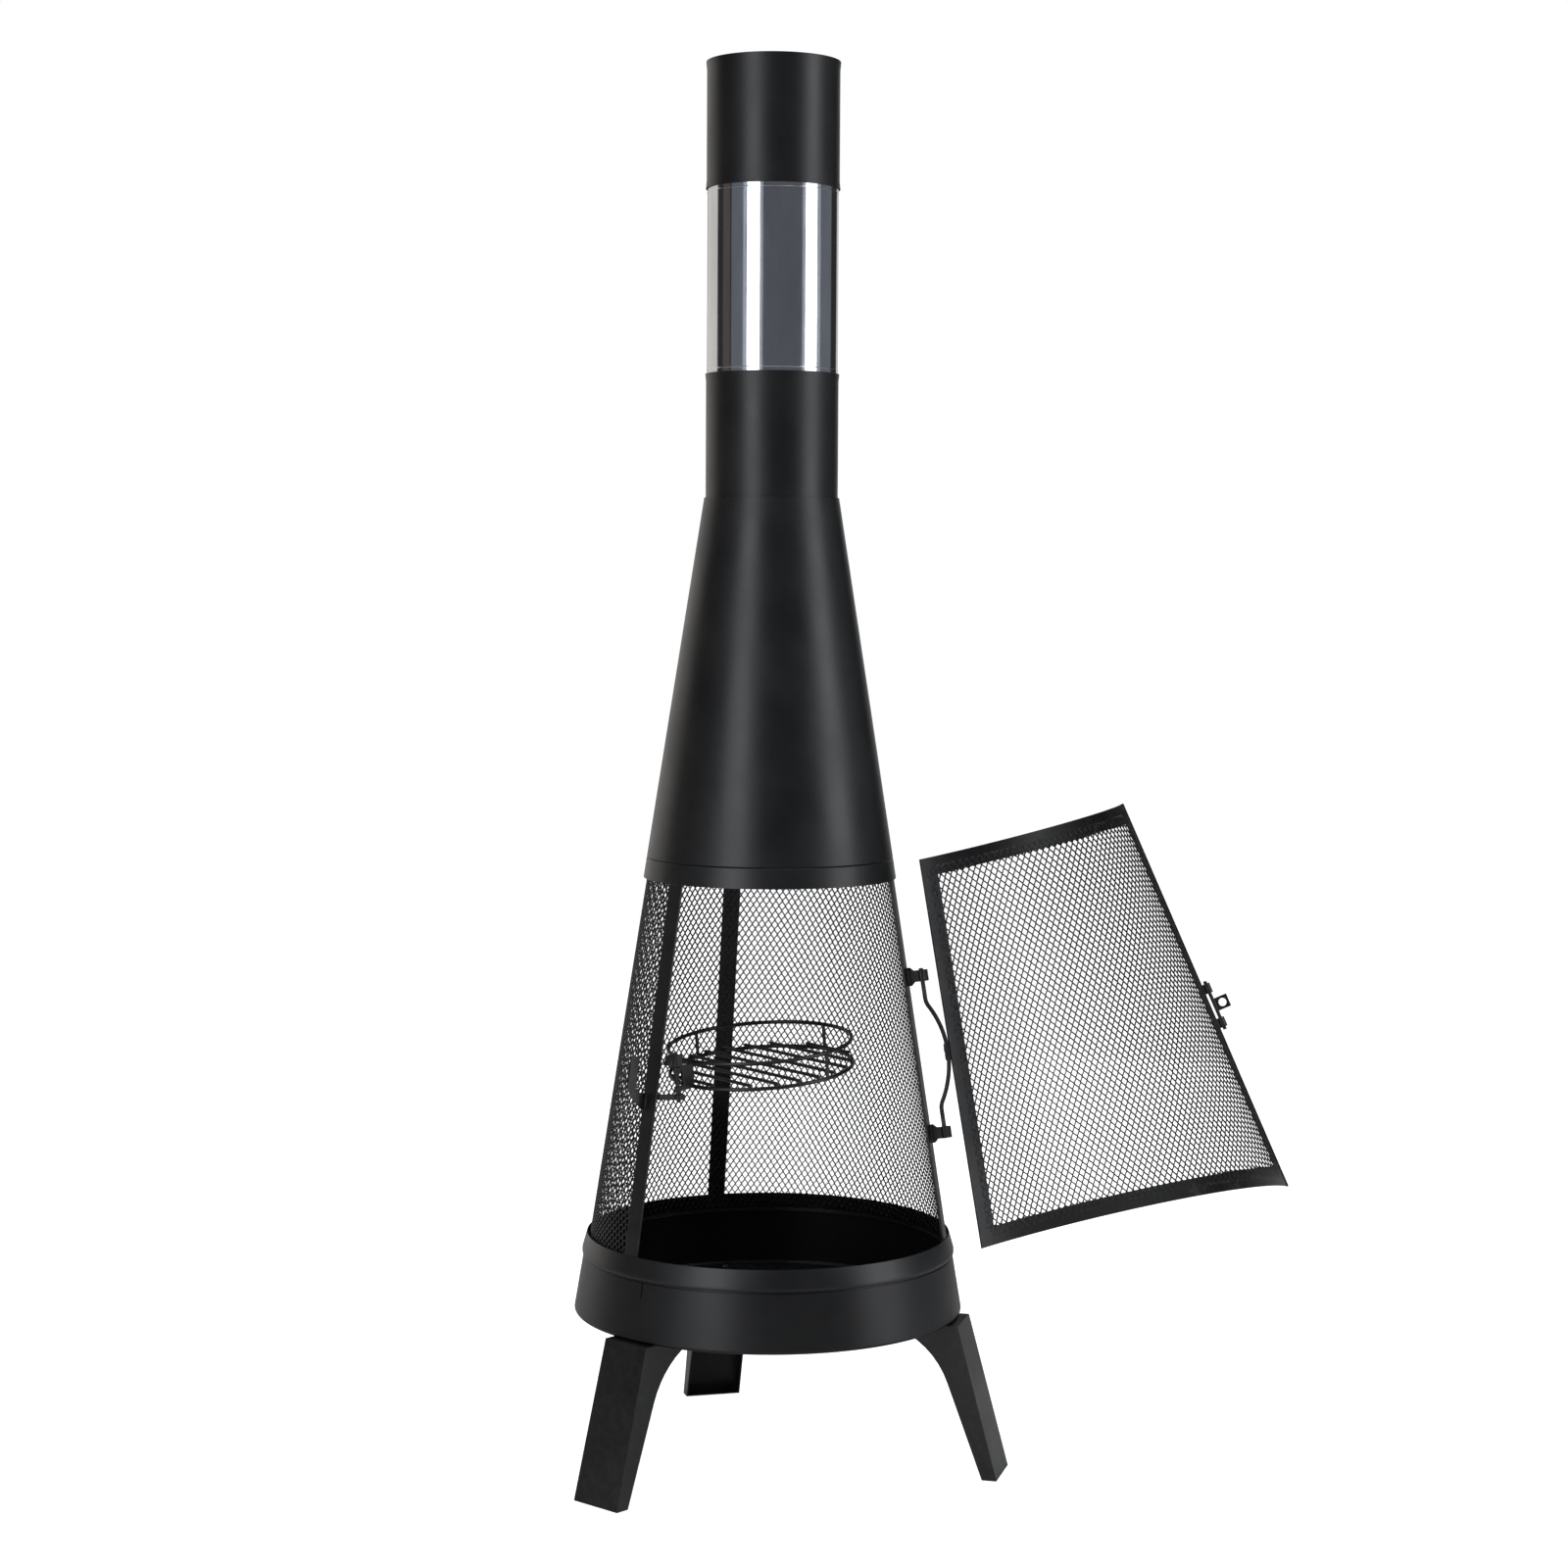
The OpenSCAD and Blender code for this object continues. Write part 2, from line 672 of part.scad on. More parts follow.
// Plate with two arms that joins both rings to the pin
module grate_knuckle() {
    plate_end = grate_reach - ring_d / 2;
    plate_h = ring_gap - 1;
    plate_t = 3;
    arm_h = 6;
    slot_end = 7;
    color(dark) grate_frame() difference() {
        union() {
            translate([0, -plate_t / 2, 0]) cube([plate_end, plate_t, plate_h]);
            cylinder(r = pin_d / 2 + strap_eye_wall, h = plate_h, $fn = 32);
        }
        translate([-pin_d * 2, -pin_d * 2, arm_h])
            cube([pin_d * 2 + slot_end, pin_d * 4, plate_h - 2 * arm_h]);
        translate([0, 0, -1]) cylinder(d = pin_d, h = plate_h + 2, $fn = 32);
    }
}

module grate_ring(z) {
    color(dark) grate_frame() translate([arm, 0, z])
        rotate_extrude() translate([grate_r, 0]) circle(d = ring_d, $fn = 32);
}

module grate_top_ring() { grate_ring(ring_gap); }
module grate_low_ring() { grate_ring(0); }

// How far welded wires sink into each other
wire_weld = 0.3;

module grate_upright(i) {
    color(dark) grate_frame() translate([arm, 0, 0]) rotate([0, 0, 90 * (i - 2)])
        translate([grate_r, 0, ring_d / 2 - wire_weld])
            cylinder(d = bar_d, h = ring_gap - ring_d + 2 * wire_weld, $fn = 32);
}

module grate_upright_1() { grate_upright(1); }
module grate_upright_2() { grate_upright(2); }
module grate_upright_3() { grate_upright(3); }

// Bars lie across the lower ring
module grate_bar(i) {
    side = (i - 5) * bar_pitch;
    half = sqrt(pow(grate_r, 2) - pow(side, 2)) + bar_d / 4;
    color(dark) grate_frame() translate([arm, 0, (ring_d + bar_d) / 2 - wire_weld])
        rotate([0, 0, bar_turn]) translate([0, side, 0]) rotate([0, 90, 0])
            cylinder(d = bar_d, h = 2 * half, center = true, $fn = 32);
}

module grate_bar_1() { grate_bar(1); }
module grate_bar_2() { grate_bar(2); }
module grate_bar_3() { grate_bar(3); }
module grate_bar_4() { grate_bar(4); }
module grate_bar_5() { grate_bar(5); }
module grate_bar_6() { grate_bar(6); }
module grate_bar_7() { grate_bar(7); }
module grate_bar_8() { grate_bar(8); }
module grate_bar_9() { grate_bar(9); }

leg_left();
leg_right();
leg_rear();
leg_bolts();
leg_nuts();
bowl_floor();
bowl_wall();
low_ring();
top_ring();
post_left();
post_right();
post_rear();
body_mesh();
hood();
flue_seat();
low_flue();
bright_flue();
top_flue();
hinge_strap_upper();
hinge_strap_lower();
latch_hook();
grate_strap_upper();
grate_strap_lower();
door_top_strip();
door_bottom_strip();
door_hinge_strip();
door_free_strip();
door_mesh();
hinge_rod();
latch_strap_upper();
latch_strap_lower();
latch_rod();
latch_eye();
grate_pin();
grate_knuckle();
grate_top_ring();
grate_low_ring();
grate_upright_1();
grate_upright_2();
grate_upright_3();
grate_bar_1();
grate_bar_2();
grate_bar_3();
grate_bar_4();
grate_bar_5();
grate_bar_6();
grate_bar_7();
grate_bar_8();
grate_bar_9();
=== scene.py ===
import json
import math
import random

import bmesh
import bpy
from mathutils import Matrix, Vector

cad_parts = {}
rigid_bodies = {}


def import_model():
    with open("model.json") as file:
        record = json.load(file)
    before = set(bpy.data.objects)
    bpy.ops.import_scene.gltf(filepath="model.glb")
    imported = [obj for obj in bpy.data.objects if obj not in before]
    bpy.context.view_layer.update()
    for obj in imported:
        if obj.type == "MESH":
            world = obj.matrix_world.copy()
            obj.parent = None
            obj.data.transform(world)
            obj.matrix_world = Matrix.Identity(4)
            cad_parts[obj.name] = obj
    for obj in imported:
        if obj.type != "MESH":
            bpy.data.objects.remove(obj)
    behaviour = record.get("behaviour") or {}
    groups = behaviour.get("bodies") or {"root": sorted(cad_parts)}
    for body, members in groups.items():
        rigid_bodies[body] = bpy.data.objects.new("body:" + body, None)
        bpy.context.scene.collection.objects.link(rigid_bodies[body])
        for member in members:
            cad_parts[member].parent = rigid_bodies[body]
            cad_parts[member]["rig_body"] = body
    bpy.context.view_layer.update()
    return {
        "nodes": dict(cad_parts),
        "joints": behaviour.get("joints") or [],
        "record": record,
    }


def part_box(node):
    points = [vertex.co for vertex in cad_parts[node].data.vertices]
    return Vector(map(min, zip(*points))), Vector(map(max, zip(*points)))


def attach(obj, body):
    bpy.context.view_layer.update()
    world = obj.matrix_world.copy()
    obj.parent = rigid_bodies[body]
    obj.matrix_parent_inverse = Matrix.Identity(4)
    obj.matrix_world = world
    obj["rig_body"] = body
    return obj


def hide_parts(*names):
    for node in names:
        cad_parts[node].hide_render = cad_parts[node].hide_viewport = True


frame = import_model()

# ---------------------------------------------------------------- measures
# Metres, read from the frame. An azimuth is 0 at the front (-Y) and grows towards +X.

ORIGIN = Vector((0, 0, 0))
UP = Vector((0, 0, 1))


def node_levels(node):
    """Lowest height, highest height and widest radius of a round node."""
    low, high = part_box(node)
    return low.z, high.z, high.x


LEG_TOP, BOWL_TOP, BASE_R = node_levels("bowl_wall")
BAND_Z0, MESH_Z0, BAND_R = node_levels("low_ring")
MESH_Z1, SPIGOT_Z1, TOP_RING_R = node_levels("top_ring")
HOOD_Z0, NECK_Z, _ = node_levels("hood")
LOW_FLUE_Z0, LOW_FLUE_Z1, FLARE_R = node_levels("low_flue")
BRIGHT_Z0, BRIGHT_Z1, BRIGHT_R = node_levels("bright_flue")
TOP_FLUE_Z0, TOTAL_H, _ = node_levels("top_flue")

TAPER = (BASE_R - TOP_RING_R) / (MESH_Z1 - LEG_TOP)
LEAN = math.atan(TAPER)
APEX_Z = LEG_TOP + BASE_R / TAPER

BAND_T = 0.0015
HOOD_T = 0.0012
SLIP_GAP = 0.0001
LEDGE_W = 0.009
BOWL_ROUND = 0.004
FLUE_T = 0.001
FLARE = 0.0009
FLARE_H = 0.009
SEAT_W = 0.006
FLUE_R = FLARE_R - FLARE
FLUE_IN = FLUE_R - FLUE_T

# Middle of the sheets, measured in from the tapered surface (the door stands outside it)
FIXED_MESH_IN = 0.0046
DOOR_OUT = 0.0071
DOOR_IN = 0.0047
DOOR_T = DOOR_OUT - DOOR_IN

POST_AZ = {"left": -47.5, "right": 77.5, "rear": 198.0}
MESH_PAST_POST = 1.0
DOOR_AZ = (-46.5, 74.6)
DOOR_Z = (0.246, 0.695)
DOOR_STRIP = 0.021
HINGE_AZ = 80.0
HINGE_Z = 0.474
HOOK_AZ = -49.6
LATCH_AZ = -45.0
LATCH_STRAP_Z = (0.434, 0.474)

CELL_W = 0.0077
CELL_H = 0.012
KNUCKLE = 0.0008
STRAND = 0.0015
STRAND_T = 0.0008
STRAND_TILT = 0.00022


def wall_r(z):
    return BASE_R - TAPER * (z - LEG_TOP)


def on_azimuth(az, r, z):
    """Point at a radius and height on an azimuth in degrees."""
    a = math.radians(az)
    return Vector((r * math.sin(a), -r * math.cos(a), z))


def wall_frame(az, z, off=0.0):
    """Local X out of the tapered wall, Y towards growing azimuth, Z up along the wall."""
    turn = Matrix.Rotation(math.radians(az - 90), 4, "Z")
    place = Matrix.Translation((wall_r(z), 0, z))
    tip = Matrix.Rotation(-LEAN, 4, "Y")
    return turn @ place @ tip @ Matrix.Translation((off, 0, 0))


def joint_turn(name, degrees):
    """The turn of a joint's child about the joint's axis."""
    joint = next(j for j in frame["joints"] if j["name"] == name)
    pivot = Vector(joint["pos_m"])
    turn = Matrix.Rotation(math.radians(degrees), 4, Vector(joint["axis"]))
    return Matrix.Translation(pivot) @ turn @ Matrix.Translation(-pivot)


DOOR_SHUT = min(
    next(j for j in frame["joints"] if j["name"] == "door_swing")["range_deg"]
)
OPEN_DOOR = joint_turn("door_swing", -DOOR_SHUT)

# ---------------------------------------------------------------- finishes


def new_group(name, inputs, outputs):
    """A shader node group with float inputs {name: default} and outputs {name: type}."""
    tree = bpy.data.node_groups.new(name, "ShaderNodeTree")
    for label, default in inputs.items():
        socket = tree.interface.new_socket(label, in_out="INPUT", socket_type="NodeSocketFloat")
        socket.default_value = default
    for label, kind in outputs.items():
        tree.interface.new_socket(label, in_out="OUTPUT", socket_type=kind)
    return tree, tree.nodes.new("NodeGroupInput"), tree.nodes.new("NodeGroupOutput")


def math_node(tree, operation, first, second):
    """A math node; each value is a socket or a number."""
    node = tree.nodes.new("ShaderNodeMath")
    node.operation = operation
    for socket, value in zip(node.inputs, (first, second)):
        if isinstance(value, (int, float)):
            socket.default_value = value
        else:
            tree.links.new(value, socket)
    return node.outputs[0]


def noise_node(tree, place, scale, detail=2.0, roughness=0.5):
    node = tree.nodes.new("ShaderNodeTexNoise")
    node.inputs["Detail"].default_value = detail
    node.inputs["Roughness"].default_value = roughness
    tree.links.new(place, node.inputs["Vector"])
    if isinstance(scale, (int, float)):
        node.inputs["Scale"].default_value = scale
    else:
        tree.links.new(scale, node.inputs["Scale"])
    return node.outputs["Fac"]


def ramp_node(tree, value, low, high, to_low=0.0, to_high=1.0):
    node = tree.nodes.new("ShaderNodeMapRange")
    tree.links.new(value, node.inputs["Value"])
    for label, number in zip(
        ("From Min", "From Max", "To Min", "To Max"), (low, high, to_low, to_high)
    ):
        node.inputs[label].default_value = number
    return node.outputs["Result"]


def place_of(tree):
    return tree.nodes.new("ShaderNodeTexCoord").outputs["Object"]


def stretched(tree, place, scale):
    node = tree.nodes.new("ShaderNodeMapping")
    node.inputs["Scale"].default_value = scale
    tree.links.new(place, node.inputs["Vector"])
    return node.outputs["Vector"]


def powder_grain_group():
    """Orange peel and fine powder grain as a height, and slow cloudiness as a mask."""
    tree, ins, outs = new_group(
        "powder_grain",
        {"Peel Scale": 420.0, "Grain Scale": 2600.0, "Grain Share": 0.35},
        {"Height": "NodeSocketFloat", "Cloud": "NodeSocketFloat"},
    )
    place = place_of(tree)
    peel = noise_node(tree, place, ins.outputs["Peel Scale"], 1.5)
    grain = noise_node(tree, place, ins.outputs["Grain Scale"], 2.0)
    grain = math_node(tree, "MULTIPLY", grain, ins.outputs["Grain Share"])
    cloud = noise_node(tree, place, 14.0, 4.0, 0.6)
    tree.links.new(math_node(tree, "ADD", peel, grain), outs.inputs["Height"])
    tree.links.new(ramp_node(tree, cloud, 0.35, 0.65), outs.inputs["Cloud"])
    return tree


def settled_dust_group():
    """Mask of dust that lies on what faces up, broken by noise."""
    tree, ins, outs = new_group(
        "settled_dust", {"Amount": 0.2, "Fleck Scale": 900.0}, {"Mask": "NodeSocketFloat"}
    )
    place = place_of(tree)
    split = tree.nodes.new("ShaderNodeSeparateXYZ")
    tree.links.new(tree.nodes.new("ShaderNodeNewGeometry").outputs["Normal"], split.inputs[0])
    facing_up = ramp_node(tree, split.outputs["Z"], 0.25, 1.0)
    flecks = ramp_node(tree, noise_node(tree, place, ins.outputs["Fleck Scale"], 3.0), 0.5, 0.75)
    drift = ramp_node(tree, noise_node(tree, place, 30.0, 3.0), 0.35, 0.7)
    mask = math_node(tree, "MULTIPLY", math_node(tree, "MULTIPLY", flecks, drift), facing_up)
    tree.links.new(math_node(tree, "MULTIPLY", mask, ins.outputs["Amount"]), outs.inputs["Mask"])
    return tree


def edge_rub_and_highlight_group():
    """Mask of corners and folds where the finish is thinned or worn, which also serves as painted
    highlight along the folds.
    """
    tree, ins, outs = new_group(
        "edge_rub_and_highlight", {"Amount": 0.3, "Patch Scale": 120.0}, {"Mask": "NodeSocketFloat"}
    )
    place = place_of(tree)
    bent = tree.nodes.new("ShaderNodeNewGeometry").outputs["Pointiness"]
    corner = ramp_node(tree, bent, 0.53, 0.62)
    patches = ramp_node(tree, noise_node(tree, place, ins.outputs["Patch Scale"], 4.0), 0.4, 0.65)
    mask = math_node(tree, "MULTIPLY", corner, patches)
    tree.links.new(math_node(tree, "MULTIPLY", mask, ins.outputs["Amount"]), outs.inputs["Mask"])
    return tree


GRAIN = powder_grain_group()
DUST = settled_dust_group()
RUB_AND_HIGHLIGHT = edge_rub_and_highlight_group()


def add_group(tree, group, **values):
    node = tree.nodes.new("ShaderNodeGroup")
    node.node_tree = group
    for label, value in values.items():
        node.inputs[label.replace("_", " ")].default_value = value
    return node


def mix_colour(tree, factor, first, second):
    """A colour mix; first and second are colours or sockets."""
    node = tree.nodes.new("ShaderNodeMix")
    node.data_type = "RGBA"
    tree.links.new(factor, node.inputs["Factor"])
    for label, value in zip((6, 7), (first, second)):
        if isinstance(value, tuple):
            node.inputs[label].default_value = (*value, 1.0)
        else:
            tree.links.new(value, node.inputs[label])
    return node.outputs[2]


def bump_into(tree, shader, height, distance, strength=1.0):
    bump = tree.nodes.new("ShaderNodeBump")
    bump.inputs["Distance"].default_value = distance
    bump.inputs["Strength"].default_value = strength
    tree.links.new(height, bump.inputs["Height"])
    tree.links.new(bump.outputs["Normal"], shader.inputs["Normal"])


# Colour of worn edges, which also stands in for the painted highlight along folds
RUBBED_AND_LIT = (0.10, 0.10, 0.105)
DUSTY = (0.16, 0.155, 0.145)


def painted_finish(name, dark, light, rough, peel_depth, dust, rub_and_highlight, peel_scale=420.0, sheen=0.5):
    """Black stove paint: grain, cloudiness, a little dust, and edges lightened partly by wear and
    partly as painted highlight.
    """
    material = bpy.data.materials.new(name)
    material.use_nodes = True
    tree = material.node_tree
    shader = tree.nodes["Principled BSDF"]
    grain = add_group(tree, GRAIN, Peel_Scale=peel_scale, Grain_Scale=2600.0, Grain_Share=0.35)
    dusty = add_group(tree, DUST, Amount=dust, Fleck_Scale=900.0)
    rubbed_and_lit = add_group(tree, RUB_AND_HIGHLIGHT, Amount=rub_and_highlight, Patch_Scale=120.0)
    colour = mix_colour(tree, grain.outputs["Cloud"], dark, light)
    # Corners and folds lighten: partly wear, partly painted highlight
    colour = mix_colour(tree, rubbed_and_lit.outputs["Mask"], colour, RUBBED_AND_LIT)
    colour = mix_colour(tree, dusty.outputs["Mask"], colour, DUSTY)
    tree.links.new(colour, shader.inputs["Base Color"])
    shader.inputs["Specular IOR Level"].default_value = sheen
    matt = ramp_node(tree, grain.outputs["Cloud"], 0.0, 1.0, rough - 0.035, rough + 0.035)
    matt = math_node(tree, "ADD", matt, math_node(tree, "MULTIPLY", dusty.outputs["Mask"], 0.6))
    tree.links.new(matt, shader.inputs["Roughness"])
    bump_into(tree, shader, grain.outputs["Height"], peel_depth)
    return material


def polished_finish():
    """Polished stainless sheet: fine lines round the pipe, faint smears."""
    material = bpy.data.materials.new("polished_steel")
    material.use_nodes = True
    tree = material.node_tree
    shader = tree.nodes["Principled BSDF"]
    shader.inputs["Metallic"].default_value = 1.0
    place = place_of(tree)
    lines = noise_node(tree, stretched(tree, place, (6.0, 6.0, 2400.0)), 1.0, 3.0, 0.65)
    smears = noise_node(tree, stretched(tree, place, (30.0, 30.0, 9.0)), 1.0, 4.0, 0.6)
    colour = mix_colour(
        tree, ramp_node(tree, smears, 0.35, 0.65), (0.60, 0.60, 0.61), (0.68, 0.68, 0.685)
    )
    tree.links.new(colour, shader.inputs["Base Color"])
    matt = ramp_node(tree, smears, 0.3, 0.7, 0.05, 0.12)
    matt = math_node(tree, "ADD", matt, ramp_node(tree, lines, 0.45, 0.8, 0.0, 0.05))
    tree.links.new(matt, shader.inputs["Roughness"])
    bump_into(tree, shader, lines, 0.0000015)
    return material


# Name, darkest and lightest colour, roughness, depth of the peel, dust, worn edges with painted
# highlight
PAINT = painted_finish(
    "satin_paint", (0.0042, 0.0042, 0.0044), (0.0066, 0.0066, 0.0068), 0.37, 0.00001, 0.12, 0.35
)
# A darker, duller copy of the satin paint for the bowl and its floor: painted shade
BOWL_PAINT_SHADED = painted_finish(
    "bowl_paint_shaded", (0.0040, 0.0040, 0.0042), (0.0062, 0.0062, 0.0064), 0.40, 0.000014, 0.25, 0.35,
    sheen=0.38,
)
MESH_PAINT = painted_finish(
    "painted_mesh", (0.0034, 0.0034, 0.0036), (0.0055, 0.0055, 0.0057), 0.42, 0.000012, 0.1, 0.0
)
IRON_PAINT = painted_finish(
    "painted_iron", (0.0042, 0.0042, 0.0044), (0.0070, 0.0070, 0.0072), 0.36, 0.00002, 0.2, 0.6,
    peel_scale=700.0,
)
GRATE_PAINT = painted_finish(
    "grate_steel", (0.0050, 0.0050, 0.0052), (0.0090, 0.0088, 0.0086), 0.34, 0.00002, 0.2, 0.5,
    peel_scale=800.0,
)
# Near black and without shine: painted shade for the gap at the bowl's seam
SEAM_SHADE = painted_finish(
    "seam_painted_shade", (0.0010, 0.0010, 0.0010), (0.0016, 0.0016, 0.0016), 0.80, 0.000010, 0.0, 0.0,
    sheen=0.05,
)
STEEL = polished_finish()

FINISH = {
    "satin_paint": PAINT,
    "painted_mesh": MESH_PAINT,
    "painted_iron": IRON_PAINT,
    "grate_steel": GRATE_PAINT,
    "polished_steel": STEEL,
}

# ---------------------------------------------------------------- making pieces

CREASE = 34.0
ALL_SMOOTH = 180.0


def put_in_scene(name, bm, body, slot, nodes=(), crease=CREASE, material=None):
    """Makes a finished bmesh a piece: smooth faces, crisp folds, its finish and its body."""
    bm.normal_update()
    limit = math.radians(crease)
    for face in bm.faces:
        face.smooth = True
    for edge in bm.edges:
        edge.smooth = not edge.is_manifold or edge.calc_face_angle(0.0) < limit
    mesh = bpy.data.meshes.new(name)
    bm.to_mesh(mesh)
    bm.free()
    mesh.materials.append(material or FINISH[slot])
    piece = bpy.data.objects.new(name, mesh)
    bpy.context.scene.collection.objects.link(piece)
    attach(piece, body)
    if nodes:
        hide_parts(*nodes)
    if crease < ALL_SMOOTH:
        weight = piece.modifiers.new("flat_faces_stay_flat", "WEIGHTED_NORMAL")
        weight.keep_sharp = True
    return piece


def round_edges(bm, offset, segments=2, sharper_than=30.0):
    limit = math.radians(sharper_than)
    sharp = [e for e in bm.edges if e.is_manifold and e.calc_face_angle(0.0) > limit]
    bmesh.ops.bevel(
        bm, geom=sharp, offset=offset, segments=segments, profile=0.5,
        affect="EDGES", material=-1, clamp_overlap=True,
    )


def spun_piece(node, outline, rounding, slot="satin_paint", steps=192, material=None):
    """Stands in for a node: a closed outline of (radius, height) points, turned full circle."""
    bm = bmesh.new()
    corners = [bm.verts.new((r, 0, z)) for r, z in outline]
    sides = [bm.edges.new(pair) for pair in zip(corners, corners[1:] + corners[:1])]
    bmesh.ops.spin(
        bm, geom=corners + sides, cent=ORIGIN, axis=UP, angle=2 * math.pi, steps=steps,
        use_merge=True,
    )
    bmesh.ops.remove_doubles(bm, verts=bm.verts, dist=1e-6)
    bmesh.ops.recalc_face_normals(bm, faces=bm.faces)
    if rounding:
        round_edges(bm, rounding)
    return put_in_scene(node + "_spun", bm, "body", slot, [node], material=material)


def softened_piece(node, body, slot, rounding, segments=2, material=None):
    """The node's own shape with its triangles joined; if rounded, its flats are made whole."""
    bm = bmesh.new()
    bm.from_mesh(frame["nodes"][node].data)
    bmesh.ops.remove_doubles(bm, verts=bm.verts, dist=2e-6)
    if rounding:
        bmesh.ops.dissolve_limit(
            bm, angle_limit=math.radians(0.8), verts=bm.verts, edges=bm.edges
        )
        round_edges(bm, rounding, segments)
    return put_in_scene(node + "_finished", bm, body, slot, [node], material=material)


# ---------------------------------------------------------------- expanded mesh


def flat_cells(columns, rows):
    """Flat sheet of staggered six-sided cells, centred on X, hanging down from the origin."""
    bm = bmesh.new()
    bmesh.ops.create_circle(bm, cap_ends=True, segments=6, radius=1.0)
    tip = (CELL_H - KNUCKLE) / 2
    for corner in bm.verts:
        side = abs(corner.co.x) > 0.1
        corner.co.y = math.copysign(KNUCKLE / 2 if side else tip, corner.co.y)
        corner.co.x = math.copysign(CELL_W / 2, corner.co.x) if side else 0.0
    steps = [(CELL_W / 2, -CELL_H / 2)]
    steps += [(CELL_W * 2**i, 0) for i in range(math.ceil(math.log2(columns)))]
    steps += [(0, -CELL_H * 2**i) for i in range(math.ceil(math.log2(rows)))]
    for x, y in steps:
        copied = bmesh.ops.duplicate(bm, geom=bm.verts[:] + bm.edges[:] + bm.faces[:])
        fresh = [g for g in copied["geom"] if isinstance(g, bmesh.types.BMVert)]
        bmesh.ops.translate(bm, verts=fresh, vec=(x, y, 0))
    width = CELL_W * 2 ** math.ceil(math.log2(columns))
    bmesh.ops.translate(bm, verts=bm.verts, vec=(-width / 2, 0, 0))
    return bm


def expanded_sheet(
    az_from, az_to, z_from, z_to, inward, az_mid, z_top, tilt=STRAND_TILT, strand=STRAND
):
    """Expanded metal rolled to the taper and cut to the given edges.

    Its cells count from az_mid and z_top, so that sheets with the same two values match.
    """
    apex_z = APEX_Z - inward / TAPER
    near = (apex_z - z_to) / math.cos(LEAN)
    far = (apex_z - z_from) / math.cos(LEAN)
    spread = math.radians(max(abs(az_from - az_mid), abs(az_to - az_mid))) * math.sin(LEAN)
    rows_over = 12
    top = (apex_z - z_top) / math.cos(LEAN) - rows_over * CELL_H
    bm = flat_cells(2 * far * math.sin(spread) / CELL_W + 4, (far - top) / CELL_H + 2)
    bmesh.ops.translate(bm, verts=bm.verts, vec=(0, -top, 0))

    margin = 1.2 * CELL_H
    side_from = math.radians(az_from - az_mid) * math.sin(LEAN)
    side_to = math.radians(az_to - az_mid) * math.sin(LEAN)
    outside = []
    for face in bm.faces:
        middle = face.calc_center_median()
        reach = middle.xy.length
        swing = math.atan2(middle.x, -middle.y)
        inside = near - margin < reach < far + margin
        inside = inside and side_from - margin / reach < swing < side_to + margin / reach
        if not inside:
            outside.append(face)
    bmesh.ops.delete(bm, geom=outside, context="FACES")
    bmesh.ops.remove_doubles(bm, verts=bm.verts, dist=1e-5)

    strands = set(bmesh.ops.inset_individual(
        bm, faces=bm.faces[:], thickness=strand / 2, use_even_offset=True
    )["faces"])
    holes = [f for f in bm.faces if f not in strands]
    step, slope = 0.6, 0.4
    for hole in holes:
        middle = hole.calc_center_median().y
        for corner in hole.verts:
            rise = (middle - corner.co.y) / (CELL_H / 2)
            corner.co.z = tilt * (step * math.copysign(1.0, rise) + slope * rise)
    bmesh.ops.delete(bm, geom=holes, context="FACES")

    for corner in bm.verts:
        x, y, lift = corner.co
        reach = math.hypot(x, y)
        az = az_mid + math.degrees(math.atan2(x, -y)) / math.sin(LEAN)
        r = reach * math.sin(LEAN) + lift * math.cos(LEAN)
        corner.co = on_azimuth(az, r, apex_z - reach * math.cos(LEAN) + lift * math.sin(LEAN))

    cuts = [(Vector((0, 0, z_from)), -UP), (Vector((0, 0, z_to)), UP)]
    cuts += [(ORIGIN, on_azimuth(az_from - 90, 1, 0)), (ORIGIN, on_azimuth(az_to + 90, 1, 0))]
    for point, outward in cuts:
        bmesh.ops.bisect_plane(
            bm, geom=bm.verts[:] + bm.edges[:] + bm.faces[:], dist=1e-7,
            plane_co=point, plane_no=outward, clear_outer=True,
        )
    return bm


def thicken(piece, thickness):
    sheet = piece.modifiers.new("sheet_thickness", "SOLIDIFY")
    sheet.thickness = thickness
    sheet.offset = 0.0
    sheet.use_even_offset = False


def make_fixed_mesh():
    """One rolled sheet, in two halves that meet behind the rear post."""
    low_tuck, high_tuck = 0.003, 0.005
    halves = {
        "body_mesh_right": (POST_AZ["right"] + MESH_PAST_POST, POST_AZ["rear"]),
        "body_mesh_left": (POST_AZ["rear"], 360 + POST_AZ["left"] - MESH_PAST_POST),
    }
    for name, (az_from, az_to) in halves.items():
        bm = expanded_sheet(
            az_from, az_to, BOWL_TOP + low_tuck, HOOD_Z0 - high_tuck, FIXED_MESH_IN,
            POST_AZ["rear"], HOOD_Z0,
        )
        piece = put_in_scene(name, bm, "body", "painted_mesh", ["body_mesh"], crease=ALL_SMOOTH)
        thicken(piece, STRAND_T)


